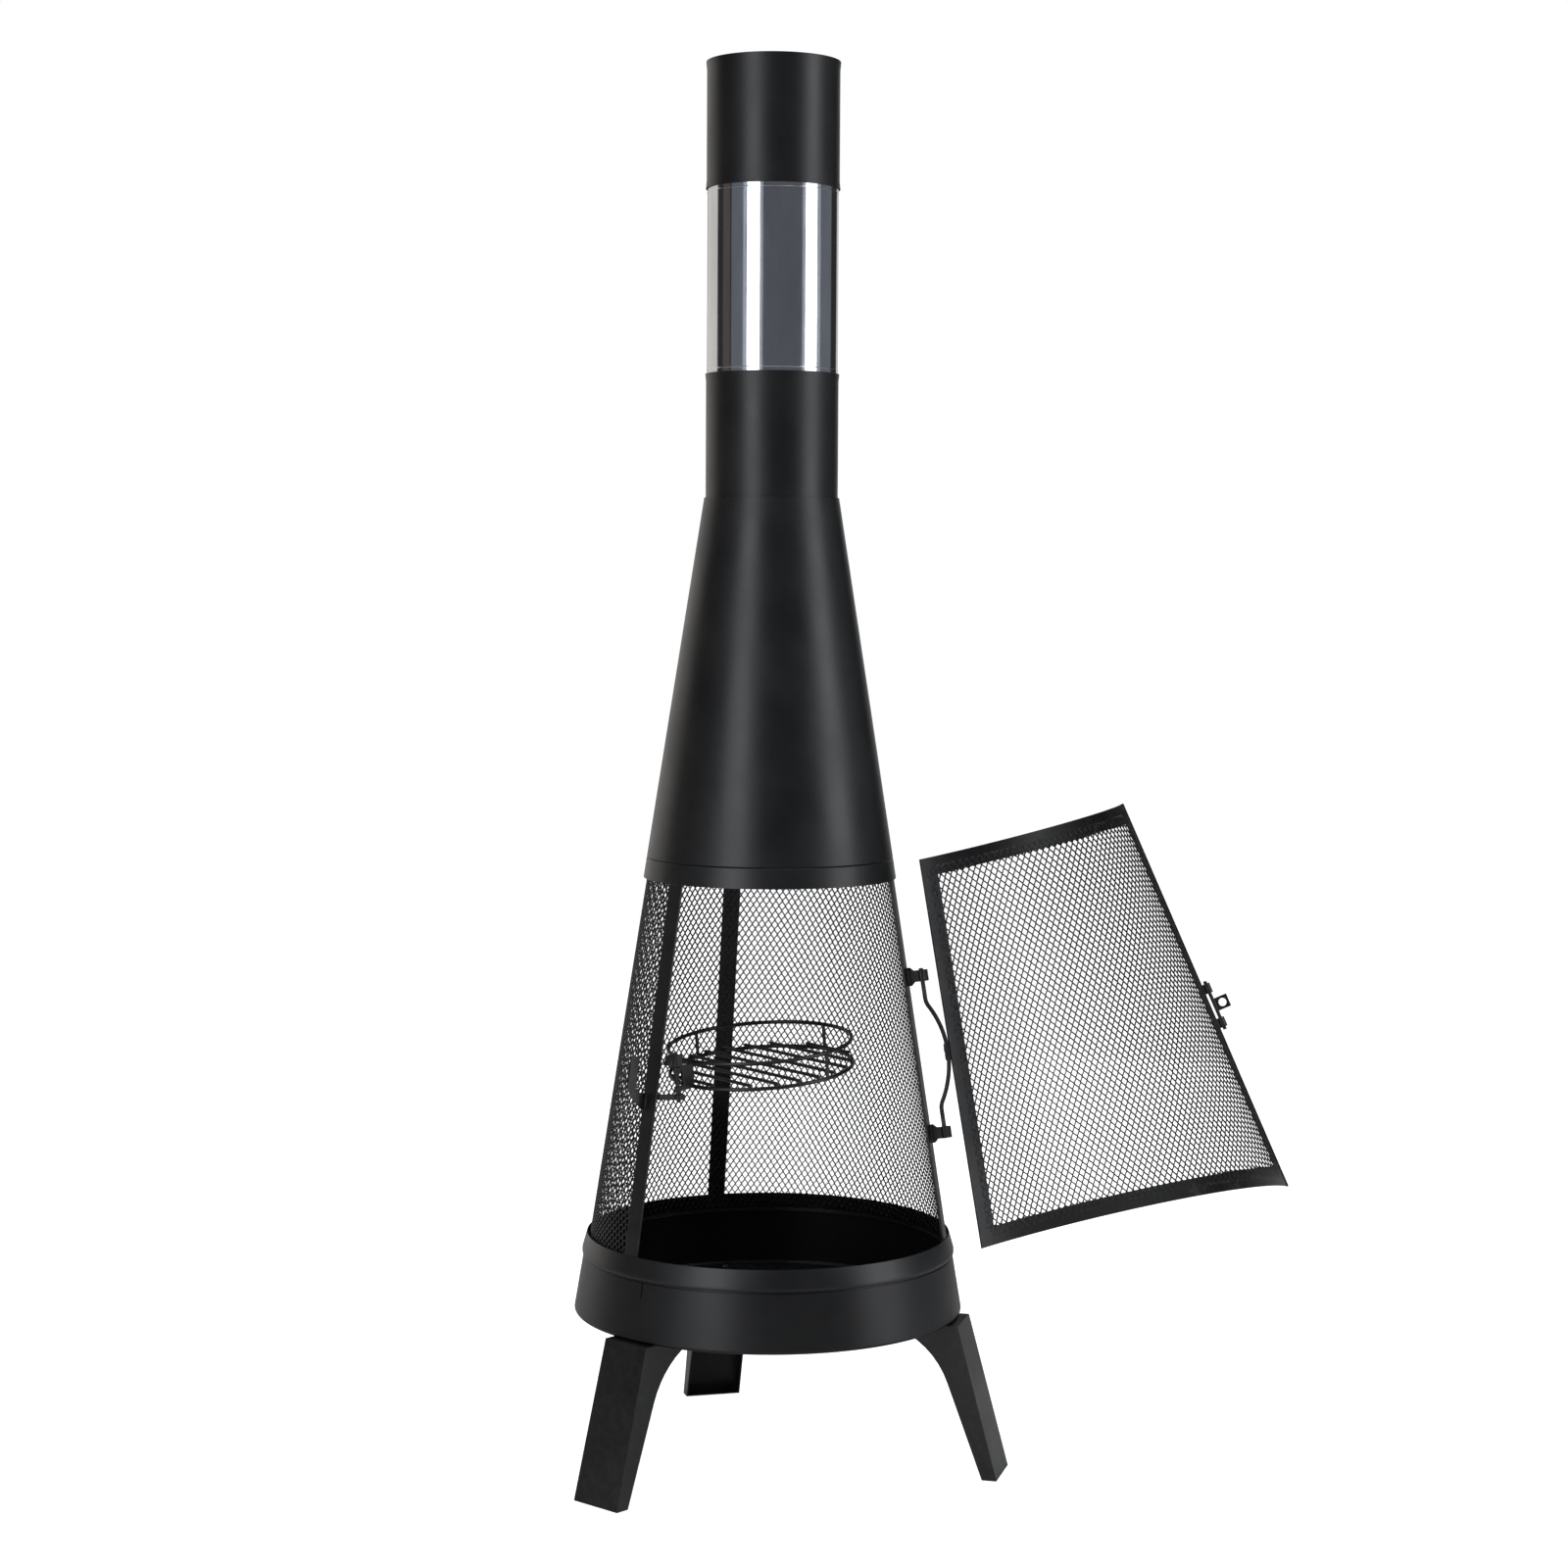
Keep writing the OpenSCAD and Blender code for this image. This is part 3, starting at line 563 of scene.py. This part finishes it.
def make_door_mesh():
    """The door's sheet, and where its strands press through the edge strips."""
    middle = (DOOR_AZ[0] + DOOR_AZ[1]) / 2
    outward = -(DOOR_IN + DOOR_OUT) / 2
    side, tuck = 4.0, 0.008
    z_low, z_high = DOOR_Z[0] + DOOR_STRIP, DOOR_Z[1] - DOOR_STRIP
    az_free, az_hinge = DOOR_AZ[0] + side, DOOR_AZ[1] - side
    bm = expanded_sheet(
        az_free, az_hinge, z_low - tuck, z_high + tuck, outward, middle, DOOR_Z[1]
    )
    bmesh.ops.transform(bm, matrix=OPEN_DOOR, verts=bm.verts)
    piece = put_in_scene(
        "door_mesh_sheet", bm, "door", "painted_mesh", ["door_mesh"], crease=ALL_SMOOTH
    )
    thicken(piece, STRAND_T)

    pressed, proud, lap, gap_turn = 0.011, 0.00012, 0.001, 0.8
    wider = 1.25
    turn = math.degrees(pressed / wall_r((z_low + z_high) / 2))
    strip_turn = math.degrees(DOOR_STRIP / wall_r((z_low + z_high) / 2))
    free_in, hinge_in = DOOR_AZ[0] + strip_turn, DOOR_AZ[1] - strip_turn
    bands = {
        "top": (az_free, az_hinge, z_high - lap, z_high + pressed),
        "bottom": (az_free, az_hinge, z_low - pressed, z_low + lap),
        "free": (free_in - turn, free_in - gap_turn, z_low, z_high),
        "hinge": (hinge_in + gap_turn, hinge_in + turn, z_low, z_high),
    }
    for name, (az_from, az_to, z_from, z_to) in bands.items():
        bm = expanded_sheet(
            az_from, az_to, z_from, z_to, outward, middle, DOOR_Z[1], 0.0, wider * STRAND
        )
        bmesh.ops.transform(bm, matrix=OPEN_DOOR, verts=bm.verts)
        piece = put_in_scene(f"door_{name}_pressing", bm, "door", "satin_paint", crease=ALL_SMOOTH)
        thicken(piece, DOOR_T + 2 * proud)


# ---------------------------------------------------------------- bowl, bands, hood and flue

THICK_EDGE = 0.0004
RING_EDGE = 0.0003
THIN_EDGE = 0.0002
POLISHED_EDGE = 0.00015


def make_bowl():
    """A rolled wall with a rounded foot, and a fine groove in the shade of the low band."""
    turn = [math.radians(15 * i) for i in range(7)]
    foot = BASE_R - BOWL_ROUND
    corner = [
        (foot + BOWL_ROUND * math.sin(a), LEG_TOP + BOWL_ROUND * (1 - math.cos(a))) for a in turn
    ]
    top_r = wall_r(BOWL_TOP)
    inner = BOWL_TOP - BAND_T
    deep, half = 0.0008, 0.0011
    groove = [
        (wall_r(BAND_Z0 + z) - inward, BAND_Z0 + z)
        for z, inward in ((-2 * half, 0.0), (-1.6 * half, deep), (half, deep), (1.4 * half, 0.0))
    ]
    # The bowl wall and floor take the shaded copy of the paint: painted shade
    spun_piece("bowl_wall", corner + groove + [
        (top_r, BOWL_TOP), (top_r - LEDGE_W, BOWL_TOP), (top_r - LEDGE_W, inner),
        (wall_r(inner) - BAND_T, inner),
        (wall_r(LEG_TOP + BOWL_ROUND) - BAND_T, LEG_TOP + BOWL_ROUND), (foot, LEG_TOP + BAND_T),
    ], THICK_EDGE, material=BOWL_PAINT_SHADED)
    softened_piece("bowl_floor", "body", "satin_paint", 0.0, material=BOWL_PAINT_SHADED)


def make_bands():
    """The low band over the bowl, and the top band with the spigot that the hood slips over."""
    skirt = BAND_Z0
    edge = 0.001
    top_r = wall_r(BOWL_TOP)
    lip_r = top_r - LEDGE_W + 2 * edge
    over = BOWL_TOP + BAND_T
    spun_piece("low_ring", [
        (BAND_R - edge, skirt), (BAND_R, skirt + edge), (BAND_R, over),
        (wall_r(MESH_Z0), MESH_Z0), (wall_r(MESH_Z0) - BAND_T, MESH_Z0),
        (wall_r(over) - BAND_T, over), (lip_r, over), (lip_r, BOWL_TOP),
        (top_r + SLIP_GAP, BOWL_TOP), (wall_r(skirt) + SLIP_GAP, skirt),
    ], THICK_EDGE)
    groove = 0.001
    lip_out = HOOD_T + SLIP_GAP
    joggle = 2 * groove
    seam_r = wall_r(HOOD_Z0)
    spun_piece("top_ring", [
        (wall_r(MESH_Z1), MESH_Z1), (wall_r(HOOD_Z0 - groove), HOOD_Z0 - groove),
        (seam_r - groove, HOOD_Z0), (seam_r - lip_out, HOOD_Z0),
        (wall_r(SPIGOT_Z1) - lip_out, SPIGOT_Z1),
        (wall_r(SPIGOT_Z1) - lip_out - HOOD_T, SPIGOT_Z1),
        (seam_r - lip_out - HOOD_T, HOOD_Z0 - joggle),
        (wall_r(HOOD_Z0 - 2 * joggle) - BAND_T, HOOD_Z0 - 2 * joggle),
        (wall_r(MESH_Z1) - BAND_T, MESH_Z1),
    ], RING_EDGE)


def make_hood():
    """The cone, and the seat ring inside its neck."""
    groove = 0.001
    spun_piece("hood", [
        (wall_r(HOOD_Z0) - HOOD_T, HOOD_Z0), (wall_r(HOOD_Z0) - groove, HOOD_Z0),
        (wall_r(HOOD_Z0 + groove), HOOD_Z0 + groove), (wall_r(NECK_Z), NECK_Z),
        (wall_r(NECK_Z) - HOOD_T, NECK_Z),
    ], THIN_EDGE)
    seat_z = LOW_FLUE_Z0
    spun_piece("flue_seat", [
        (FLUE_R - SEAT_W, seat_z - HOOD_T), (wall_r(seat_z - HOOD_T) - HOOD_T, seat_z - HOOD_T),
        (wall_r(seat_z) - HOOD_T, seat_z), (FLUE_R - SEAT_W, seat_z),
    ], 0.0, steps=96)


def make_flue():
    """Two painted pipes with flared ends, slipped over a polished one with a rib at each end."""
    spun_piece("low_flue", [
        (FLUE_IN, LOW_FLUE_Z0), (FLUE_R, LOW_FLUE_Z0), (FLUE_R, LOW_FLUE_Z1 - FLARE_H),
        (FLARE_R, LOW_FLUE_Z1), (FLUE_IN + FLARE, LOW_FLUE_Z1), (FLUE_IN, LOW_FLUE_Z1 - FLARE_H),
    ], THIN_EDGE)
    spun_piece("top_flue", [
        (FLUE_IN + FLARE, TOP_FLUE_Z0), (FLARE_R, TOP_FLUE_Z0), (FLUE_R, TOP_FLUE_Z0 + FLARE_H),
        (FLUE_R, TOTAL_H - FLARE_H), (FLARE_R, TOTAL_H), (FLUE_IN + FLARE, TOTAL_H),
        (FLUE_IN, TOTAL_H - FLARE_H), (FLUE_IN, TOP_FLUE_Z0 + FLARE_H),
    ], THIN_EDGE)
    rib, half, rib_in = 0.0005, 0.0009, 0.0045
    in_r = BRIGHT_R - FLUE_T
    outer = [(BRIGHT_R, BRIGHT_Z0)]
    for z in (LOW_FLUE_Z1 + rib_in, TOP_FLUE_Z0 - rib_in):
        outer += [(BRIGHT_R, z - half), (BRIGHT_R + rib, z), (BRIGHT_R, z + half)]
    outer += [(BRIGHT_R, BRIGHT_Z1), (in_r, BRIGHT_Z1), (in_r, BRIGHT_Z0)]
    spun_piece("bright_flue", outer, POLISHED_EDGE, "polished_steel")


def make_bowl_seam_shade():
    """A thin proud strip of near-black paint without shine down the bowl's wall: painted shade of
    the gap at the butt joint.
    """
    az, wide, proud = -40.5, 0.0013, 0.00015
    low, high = LEG_TOP + 0.003, BAND_Z0 - 0.0015
    bm = bmesh.new()
    made = bmesh.ops.create_cube(bm, size=1.0)["verts"]
    bmesh.ops.scale(bm, vec=(2 * proud, wide, (high - low) / math.cos(LEAN)), verts=made)
    bmesh.ops.transform(bm, matrix=wall_frame(az, (low + high) / 2), verts=made)
    put_in_scene("bowl_seam", bm, "body", "satin_paint", material=SEAM_SHADE)


# ---------------------------------------------------------------- weld beads


def add_bead(bm, start, end, radius, draw):
    """A row of overlapping blobs, as a hand-laid weld."""
    run = end - start
    count = max(2, round(run.length / (0.9 * radius)))
    for i in range(count):
        size = radius * draw.uniform(0.85, 1.15)
        made = bmesh.ops.create_icosphere(bm, subdivisions=2, radius=size)["verts"]
        wobble = Vector([draw.uniform(-0.12, 0.12) * radius for _ in range(3)])
        bmesh.ops.translate(bm, verts=made, vec=start + run * i / (count - 1) + wobble)


def add_bead_pair(bm, spot, side, low, high, radius, draw):
    """Beads along both sides of a strap: spot is the strap's place on the wall."""
    for y in (-side, side):
        add_bead(bm, spot @ Vector((0, y, low)), spot @ Vector((0, y, high)), radius, draw)


def make_body_welds():
    bead, post_bead = 0.0011, 0.0012
    strap_side, strap_half = 0.0022, 0.0095
    hook_side, hook_from, hook_to = 0.0014, 0.002, 0.016
    post_half = 0.0085
    draw = random.Random(7)
    bm = bmesh.new()
    for node in ("hinge_strap_upper", "hinge_strap_lower"):
        low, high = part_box(node)
        spot = wall_frame(HINGE_AZ, (low.z + high.z) / 2, -BAND_T)
        add_bead_pair(bm, spot, strap_side, -strap_half, strap_half, bead, draw)
    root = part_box("latch_hook")[0].z
    for side in (-hook_side, hook_side):
        ends = [
            wall_frame(HOOK_AZ, root + dz, -BAND_T) @ Vector((0, side, 0))
            for dz in (hook_from, hook_to)
        ]
        add_bead(bm, *ends, bead, draw)
    for az in POST_AZ.values():
        for z in (MESH_Z0, MESH_Z1):
            spot = wall_frame(az, z, -BAND_T - post_bead)
            ends = [spot @ Vector((0, y, 0)) for y in (-post_half, post_half)]
            add_bead(bm, *ends, post_bead, draw)
    put_in_scene("body_welds", bm, "body", "painted_iron", crease=ALL_SMOOTH)


def make_door_welds():
    rod_bead, rod_side, rod_half = 0.0021, 0.0058, 0.008
    bead, strap_side, strap_half = 0.0008, 0.0017, 0.0045
    draw = random.Random(11)
    bm = bmesh.new()
    edge = wall_frame(DOOR_AZ[1], HINGE_Z, (DOOR_IN + DOOR_OUT) / 2)
    ends = [OPEN_DOOR @ edge @ Vector((0, rod_side, dz)) for dz in (-rod_half, rod_half)]
    add_bead(bm, *ends, rod_bead, draw)
    for z in LATCH_STRAP_Z:
        spot = OPEN_DOOR @ wall_frame(LATCH_AZ, z, DOOR_OUT)
        add_bead_pair(bm, spot, strap_side, -strap_half, strap_half, bead, draw)
    put_in_scene("door_welds", bm, "door", "painted_iron", crease=ALL_SMOOTH)


# ---------------------------------------------------------------- everything else from its node


def make_softened_pieces():
    """Nodes whose shape is right: their edges are rounded as the real metal's are."""
    # Start of the node's name: width of the rounding and its segments
    rounding = {
        "leg_": (0.0009, 3), "leg_bolts": (0.0004, 2), "leg_nuts": (0.0003, 2),
        "post_": (0.0004, 2), "hinge_strap_": (0.0004, 2), "latch_hook": (0.0004, 2),
        "grate_strap_": (0.0003, 2), "door_": (0.0004, 2), "hinge_rod": (0.0, 1),
        "latch_strap_": (0.0003, 2), "latch_rod": (0.0005, 3), "latch_eye": (0.0004, 2),
        "grate_pin": (0.0005, 3), "grate_knuckle": (0.0004, 2), "grate_top_ring": (0.0, 1),
        "grate_low_ring": (0.0, 1), "grate_upright": (0.0, 1), "grate_bar": (0.0003, 2),
    }
    slots = {part["node"]: part["material_slot"] for part in frame["record"]["subparts"]}
    made_above = {
        "bowl_wall", "bowl_floor", "low_ring", "top_ring", "body_mesh", "hood", "flue_seat",
        "low_flue", "bright_flue", "top_flue", "door_mesh",
    }
    for node, shape in frame["nodes"].items():
        if node in made_above:
            continue
        match = max((key for key in rounding if node.startswith(key)), key=len)
        width, segments = rounding[match]
        softened_piece(node, shape["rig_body"], slots[node], width, segments)


# ---------------------------------------------------------------- floor, light and camera


def make_floor():
    """A pale floor that fades to plain white away from the object."""
    glow_from, glow_to = (0.5, 0.90), (3.0, 1.0)
    bm = bmesh.new()
    bmesh.ops.create_circle(bm, cap_ends=True, segments=96, radius=14.0)
    mesh = bpy.data.meshes.new("floor")
    bm.to_mesh(mesh)
    bm.free()
    floor = bpy.data.objects.new("floor", mesh)
    bpy.context.scene.collection.objects.link(floor)
    material = bpy.data.materials.new("pale_floor")
    material.use_nodes = True
    tree = material.node_tree
    shader = tree.nodes["Principled BSDF"]
    shader.inputs["Base Color"].default_value = (0.8, 0.8, 0.8, 1.0)
    shader.inputs["Roughness"].default_value = 0.9
    shader.inputs["Specular IOR Level"].default_value = 0.1
    shader.inputs["Emission Color"].default_value = (1.0, 1.0, 1.0, 1.0)
    far = tree.nodes.new("ShaderNodeVectorMath")
    far.operation = "LENGTH"
    tree.links.new(place_of(tree), far.inputs[0])
    glow = ramp_node(
        tree, far.outputs["Value"], glow_from[0], glow_to[0], glow_from[1], glow_to[1]
    )
    seen = tree.nodes.new("ShaderNodeLightPath").outputs["Is Camera Ray"]
    tree.links.new(math_node(tree, "MULTIPLY", glow, seen), shader.inputs["Emission Strength"])
    mesh.materials.append(material)


def make_world():
    """White to the eye, a dim cool room to everything that is lit by it."""
    world = bpy.data.worlds.new("studio")
    world.use_nodes = True
    tree = world.node_tree
    tree.nodes.clear()
    dim = tree.nodes.new("ShaderNodeBackground")
    dim.inputs["Color"].default_value = (0.92, 0.94, 1.0, 1.0)
    dim.inputs["Strength"].default_value = 0.035
    white = tree.nodes.new("ShaderNodeBackground")
    white.inputs["Color"].default_value = (1.0, 1.0, 1.0, 1.0)
    white.inputs["Strength"].default_value = 1.0
    mix = tree.nodes.new("ShaderNodeMixShader")
    out = tree.nodes.new("ShaderNodeOutputWorld")
    seen = tree.nodes.new("ShaderNodeLightPath").outputs["Is Camera Ray"]
    tree.links.new(seen, mix.inputs["Fac"])
    tree.links.new(dim.outputs[0], mix.inputs[1])
    tree.links.new(white.outputs[0], mix.inputs[2])
    tree.links.new(mix.outputs[0], out.inputs["Surface"])
    bpy.context.scene.world = world


def add_panel(name, az, distance, z, width, height, radiance, colour=(1.0, 1.0, 1.0)):
    """A soft box that faces the centre line; its power follows from its brightness."""
    light = bpy.data.lights.new(name, "AREA")
    light.shape = "RECTANGLE"
    light.size = width
    light.size_y = height
    light.energy = radiance * math.pi * width * height
    light.color = colour
    panel = bpy.data.objects.new(name, light)
    panel.location = on_azimuth(az, distance, z)
    aim = Vector((0, 0, z)) - panel.location
    panel.rotation_euler = aim.to_track_quat("-Z", "Y").to_euler()
    panel.visible_camera = False
    bpy.context.scene.collection.objects.link(panel)
    return panel


COOL = (0.76, 0.84, 1.0)
WARM = (1.0, 0.97, 0.92)
BROWN = (1.0, 0.80, 0.74)


def make_lights():
    """Two tall strips with softer sides, cool fill between them and pale cards behind."""
    # Azimuth, distance, height, width, height of the panel, brightness, colour
    add_panel("left_strip", -34.0, 2.6, 1.9, 1.02, 3.6, 2.6)
    add_panel("left_strip_side", -35.0, 2.75, 1.9, 1.75, 3.7, 0.42, COOL)
    add_panel("left_fill", -63.0, 3.0, 1.8, 1.5, 3.6, 0.16, COOL)
    add_panel("right_strip", 71.0, 2.6, 1.9, 1.10, 3.6, 2.6)
    add_panel("right_strip_side", 72.0, 2.75, 1.9, 1.9, 3.7, 0.42, COOL)
    add_panel("right_fill", 106.0, 3.0, 1.8, 1.9, 3.6, 0.16, COOL)
    add_panel("front_fill", 18.0, 4.4, 1.9, 6.8, 3.8, 0.10, COOL)
    add_panel("brown_card", -88.5, 3.0, 1.6, 0.9, 3.4, 0.07, BROWN)
    add_panel("back_left_card", -138.5, 3.0, 1.6, 2.86, 3.4, 0.70, WARM)
    add_panel("back_right_card", 160.0, 3.0, 1.6, 0.9, 3.4, 0.6)
    over = add_panel("overhead", 0.0, 0.01, 5.0, 4.0, 4.0, 1.7)
    over.rotation_euler = (0.0, 0.0, 0.0)


CAMERA_AT = (0.0, -3.473, 1.022)
CAMERA_YAW, CAMERA_DIP, CAMERA_ROLL = -0.26, 3.94, 0.3
FOCAL_LENGTH = 69.58


def make_camera():
    lens = bpy.data.cameras.new("camera")
    lens.lens = FOCAL_LENGTH
    lens.sensor_width = 36.0
    lens.clip_end = 100.0
    camera = bpy.data.objects.new("camera", lens)
    look = Matrix.Rotation(math.radians(CAMERA_YAW), 4, "Z")
    look = look @ Matrix.Rotation(math.radians(90 - CAMERA_DIP), 4, "X")
    look = look @ Matrix.Rotation(math.radians(CAMERA_ROLL), 4, "Z")
    camera.matrix_world = Matrix.Translation(CAMERA_AT) @ look
    bpy.context.scene.collection.objects.link(camera)
    bpy.context.scene.camera = camera


make_bowl()
make_bands()
make_hood()
make_flue()
make_bowl_seam_shade()
make_fixed_mesh()
make_door_mesh()
make_softened_pieces()
make_body_welds()
make_door_welds()
make_floor()
make_world()
make_lights()
make_camera()
bpy.context.scene.view_settings.view_transform = "Standard"
